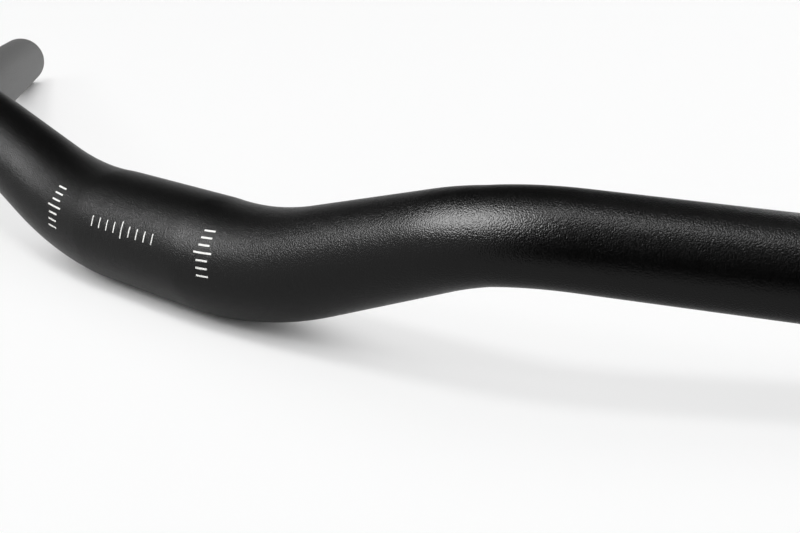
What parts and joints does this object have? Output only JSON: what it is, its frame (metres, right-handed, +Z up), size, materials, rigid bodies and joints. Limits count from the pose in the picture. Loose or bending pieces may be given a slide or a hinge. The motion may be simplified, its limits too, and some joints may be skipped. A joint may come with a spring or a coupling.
{
  "type": "riser handlebar",
  "caption": "Bicycle riser handlebar: a black anodised aluminium tube, thick at the stem clamp, tapered and bent up and back to a slimmer grip on each side, with open ends.",
  "frame": {"origin": "middle of the stem clamp zone, on the tube's axis", "axes": "+X along the clamp zone's axis, to the rider's left; +Y the way the grips sweep back, towards the rider; +Z up, with the bar lying at rest on the clamp zone and both ends"},
  "size_m": [0.7308, 0.1609, 0.0491],
  "materials": {
    "black_anodised_aluminium": "bead-blasted and anodised matte black"
  },
  "bodies": {
    "root": {"handlebar": "black_anodised_aluminium"}
  },
  "joints": []
}
